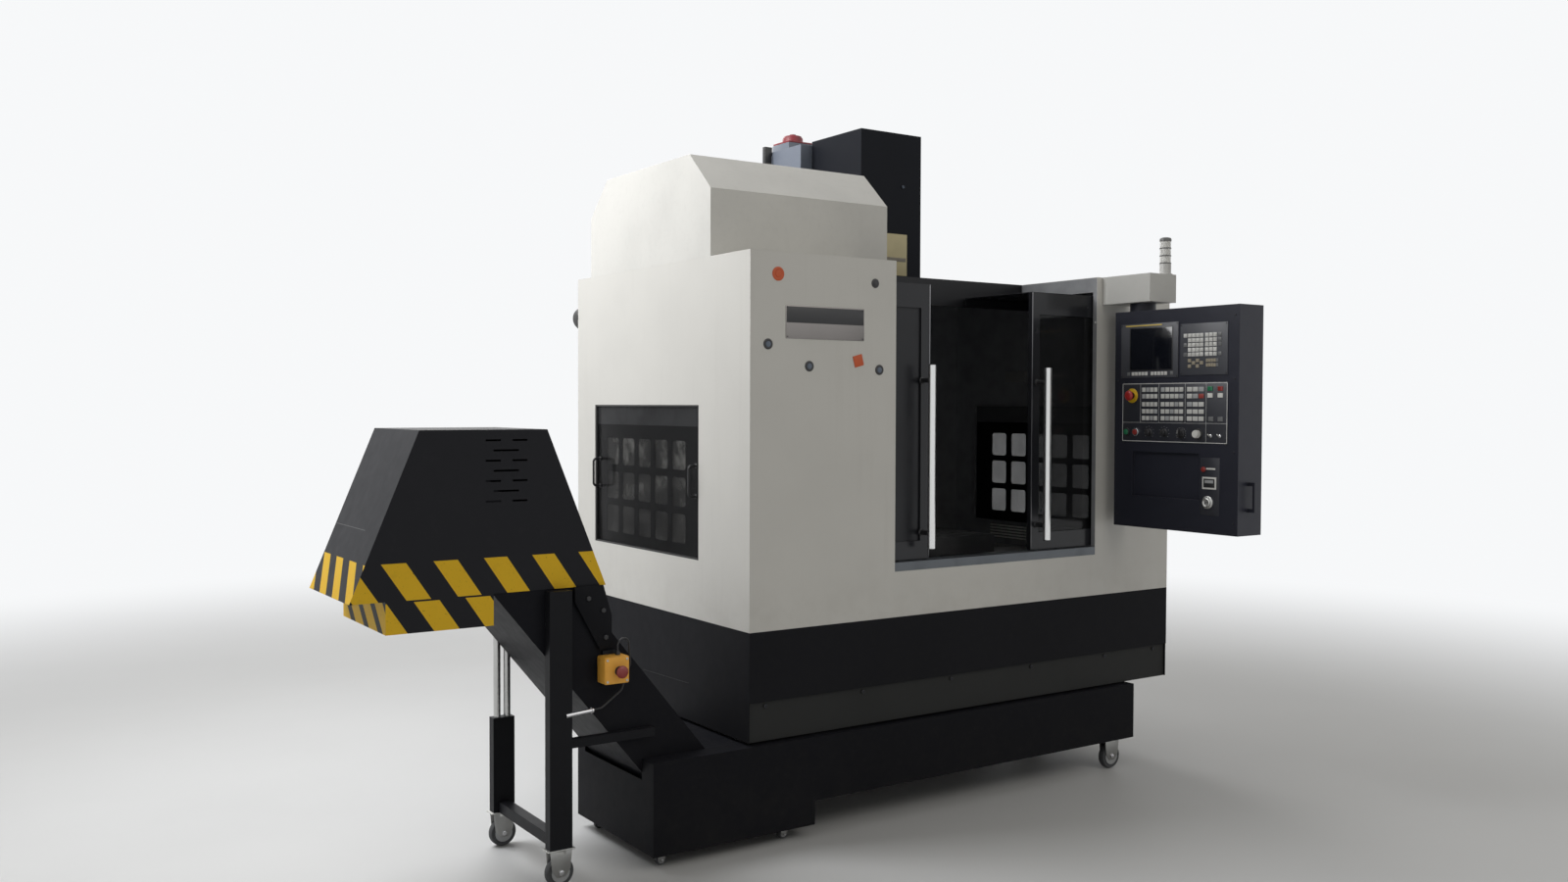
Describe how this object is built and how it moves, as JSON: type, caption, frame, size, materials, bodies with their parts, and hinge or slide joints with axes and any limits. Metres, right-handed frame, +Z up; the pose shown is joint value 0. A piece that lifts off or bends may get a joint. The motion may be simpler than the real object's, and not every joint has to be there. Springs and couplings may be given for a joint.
{
  "type": "cnc machining center",
  "caption": "Vertical machining centre with sheet metal enclosure, sliding doors, cross table, spindle head, tool changer, swivelling control pendant and chip conveyor.",
  "frame": {"origin": "centre of the bounding box on the floor", "axes": "+X to the right seen from the operator, +Y from the doors to the rear, +Z up"},
  "size_m": [3.735, 2.988, 3.014],
  "materials": {
    "housing_paint": "white powder coat, satin",
    "hood_paint": "white powder coat, satin",
    "skirt_paint": "charcoal powder coat, fine texture",
    "plate_paint": "mid grey paint",
    "tank_paint": "near-black paint",
    "door_paint": "near-black paint, semi-gloss",
    "roof_paint": "dark grey paint",
    "casting_paint": "dark grey machine enamel",
    "head_paint": "blue-grey machine enamel",
    "cover_paint": "near-black paint, satin",
    "foot_steel": "raw casting",
    "caster_mix": "zinc-plated forks and grey wheels",
    "sill_steel": "brushed stainless sheet",
    "beam_paint": "near-black paint",
    "tinted_glass": "tinted safety glass, glossy",
    "guard_paint": "black paint",
    "handle_steel": "brushed stainless tube",
    "saddle_iron": "painted casting with ground ways",
    "table_iron": "ground cast iron",
    "way_cover": "brushed stainless sheet",
    "spindle_steel": "ground steel",
    "motor_paint": "black motor with a red cap",
    "bracket_paint": "grey machine enamel",
    "disc_steel": "machined disc with dark plastic pots",
    "pot_plastic": "dark engineering plastic",
    "arm_steel": "ground steel",
    "arm_box_paint": "light grey paint",
    "lamp_plastic": "clear lens rings on a grey base",
    "pendant_paint": "dark navy paint, satin",
    "display": "dark bezel and screen with pale keys",
    "keyboard": "dark panel with pale keys",
    "panel": "dark panel with pale keys",
    "red_button": "red moulded plastic",
    "green_button": "green moulded plastic",
    "black_knob": "black moulded plastic",
    "white_knob": "pale moulded plastic",
    "conveyor_paint": "near-black paint",
    "belt_steel": "hinged steel plates",
    "shaft_steel": "turned steel",
    "chood_paint": "dark paint with yellow and black stripes along the lower edge",
    "leg_paint": "near-black paint",
    "yellow_box": "yellow moulded plastic",
    "cabinet_paint": "light grey powder coat"
  },
  "bodies": {
    "frame": {"base_casting": "casting_paint", "levelling_feet": "foot_steel", "column": "casting_paint", "coolant_tank": "tank_paint", "casters": "caster_mix", "skirt_panels": "skirt_paint", "base_cover_plate": "plate_paint", "left_housing": "housing_paint", "right_housing": "housing_paint", "lower_front_panel": "housing_paint", "door_sill": "sill_steel", "guide_beam": "beam_paint", "rear_enclosure": "roof_paint", "magazine_hood": "hood_paint", "window_panes": "tinted_glass", "window_guards": "guard_paint", "z_motor": "motor_paint", "magazine_bracket": "bracket_paint", "pendant_arm_box": "arm_box_paint", "tower_light": "lamp_plastic", "conveyor_casing": "conveyor_paint", "conveyor_belt": "belt_steel", "conveyor_hood": "chood_paint", "conveyor_legs": "leg_paint", "conveyor_estop_box": "yellow_box", "electrical_cabinet": "cabinet_paint"},
    "left_door": {"left_door": "door_paint", "left_door_glass": "tinted_glass", "left_door_handle": "handle_steel"},
    "right_door": {"right_door": "door_paint", "right_door_glass": "tinted_glass", "right_door_handle": "handle_steel"},
    "saddle": {"saddle": "saddle_iron"},
    "table": {"table": "table_iron", "table_top": "table_iron"},
    "left_cover_1": {"left_way_cover_1": "way_cover"},
    "left_cover_2": {"left_way_cover_2": "way_cover"},
    "right_cover_1": {"right_way_cover_1": "way_cover"},
    "right_cover_2": {"right_way_cover_2": "way_cover"},
    "front_cover": {"front_way_cover": "way_cover"},
    "head": {"spindle_head": "head_paint", "head_cover": "cover_paint"},
    "spindle": {"spindle": "spindle_steel"},
    "tool_disc": {"tool_disc": "disc_steel"},
    "exchange_pot": {"exchange_pot": "pot_plastic"},
    "arm_sleeve": {"arm_sleeve": "arm_steel"},
    "change_arm": {"change_arm": "arm_steel"},
    "pendant": {"pendant_box": "pendant_paint", "display_unit": "display", "keyboard_unit": "keyboard", "operator_panel": "panel"},
    "pendant_estop": {"pendant_estop": "red_button"},
    "start_button": {"start_button": "green_button"},
    "stop_button": {"stop_button": "red_button"},
    "mode_knob": {"mode_knob": "black_knob"},
    "override_knob": {"override_knob": "white_knob"},
    "conveyor_shaft": {"conveyor_shaft": "shaft_steel"},
    "conveyor_estop_knob": {"conveyor_estop_knob": "red_button"},
    "cabinet_door": {"cabinet_door": "cabinet_paint"},
    "main_switch": {"main_switch": "black_knob"}
  },
  "joints": [
    {"name": "left_door_slide", "type": "slide", "parent": "frame", "child": "left_door", "axis": [1, 0, 0], "range_m": [-0.13, 0.3645]},
    {"name": "right_door_slide", "type": "slide", "parent": "frame", "child": "right_door", "axis": [1, 0, 0], "range_m": [-0.1995, 0.235]},
    {"name": "saddle_slide", "type": "slide", "parent": "frame", "child": "saddle", "axis": [0, 1, 0], "range_m": [-0.25, 0.25]},
    {"name": "table_slide", "type": "slide", "parent": "saddle", "child": "table", "axis": [1, 0, 0], "range_m": [-0.45, 0.45]},
    {"name": "left_cover_1_slide", "type": "slide", "parent": "saddle", "child": "left_cover_1", "axis": [1, 0, 0], "range_m": [-0.15, 0.15]},
    {"name": "left_cover_2_slide", "type": "slide", "parent": "saddle", "child": "left_cover_2", "axis": [1, 0, 0], "range_m": [-0.3, 0.3]},
    {"name": "right_cover_1_slide", "type": "slide", "parent": "saddle", "child": "right_cover_1", "axis": [1, 0, 0], "range_m": [-0.15, 0.15]},
    {"name": "right_cover_2_slide", "type": "slide", "parent": "saddle", "child": "right_cover_2", "axis": [1, 0, 0], "range_m": [-0.3, 0.3]},
    {"name": "front_cover_slide", "type": "slide", "parent": "frame", "child": "front_cover", "axis": [0, 1, 0], "range_m": [-0.125, 0.125]},
    {"name": "head_slide", "type": "slide", "parent": "frame", "child": "head", "axis": [0, 0, 1], "range_m": [-0.56, 0]},
    {"name": "spindle_turn", "type": "hinge", "parent": "head", "child": "spindle", "pos_m": [0.796, 0.134, 1.7], "axis": [0, 0, 1], "continuous": true},
    {"name": "disc_turn", "type": "hinge", "parent": "frame", "child": "tool_disc", "pos_m": [0.1655, 0.134, 2.105], "axis": [1, 0, 0], "continuous": true},
    {"name": "pot_tilt", "type": "hinge", "parent": "tool_disc", "child": "exchange_pot", "pos_m": [0.1155, 0.134, 1.785], "axis": [0, -1, 0], "range_deg": [0, 90]},
    {"name": "arm_turn", "type": "hinge", "parent": "frame", "child": "arm_sleeve", "pos_m": [0.45575, 0.134, 1.8], "axis": [0, 0, 1], "range_deg": [0, 270]},
    {"name": "arm_lift", "type": "slide", "parent": "arm_sleeve", "child": "change_arm", "axis": [0, 0, 1], "range_m": [-0.11, 0]},
    {"name": "pendant_swivel", "type": "hinge", "parent": "frame", "child": "pendant", "pos_m": [1.4835, -0.906, 2.1], "axis": [0, 0, 1], "range_deg": [0, 90]},
    {"name": "pendant_estop_push", "type": "slide", "parent": "pendant", "child": "pendant_estop", "axis": [1, 0, 0], "range_m": [0, 0.004], "stiffness_N_per_m": 800},
    {"name": "start_button_push", "type": "slide", "parent": "pendant", "child": "start_button", "axis": [1, 0, 0], "range_m": [0, 0.003], "stiffness_N_per_m": 800},
    {"name": "stop_button_push", "type": "slide", "parent": "pendant", "child": "stop_button", "axis": [1, 0, 0], "range_m": [0, 0.003], "stiffness_N_per_m": 800},
    {"name": "mode_knob_turn", "type": "hinge", "parent": "pendant", "child": "mode_knob", "pos_m": [1.4115, -1.178, 1.521], "axis": [1, 0, 0], "range_deg": [-135, 135]},
    {"name": "override_knob_turn", "type": "hinge", "parent": "pendant", "child": "override_knob", "pos_m": [1.4115, -1.266, 1.521], "axis": [1, 0, 0], "range_deg": [-135, 135]},
    {"name": "conveyor_shaft_turn", "type": "hinge", "parent": "frame", "child": "conveyor_shaft", "pos_m": [-1.44869, -0.456, 1.25], "axis": [0, 1, 0], "continuous": true},
    {"name": "conveyor_estop_push", "type": "slide", "parent": "frame", "child": "conveyor_estop_knob", "axis": [0, 1, 0], "range_m": [0, 0.004], "stiffness_N_per_m": 800},
    {"name": "cabinet_door_turn", "type": "hinge", "parent": "frame", "child": "cabinet_door", "pos_m": [1.8215, 1.104, 1.4], "axis": [0, 0, -1], "range_deg": [0, 110]},
    {"name": "main_switch_turn", "type": "hinge", "parent": "cabinet_door", "child": "main_switch", "pos_m": [1.386, 1.124, 1.5], "axis": [0, 1, 0], "range_deg": [0, 90]}
  ],
  "couplings": [
    {"joint": "left_cover_1_slide", "follows": "table_slide", "ratio": 0.33333},
    {"joint": "left_cover_2_slide", "follows": "table_slide", "ratio": 0.66667},
    {"joint": "right_cover_1_slide", "follows": "table_slide", "ratio": 0.33333},
    {"joint": "right_cover_2_slide", "follows": "table_slide", "ratio": 0.66667},
    {"joint": "front_cover_slide", "follows": "saddle_slide", "ratio": 0.5}
  ]
}
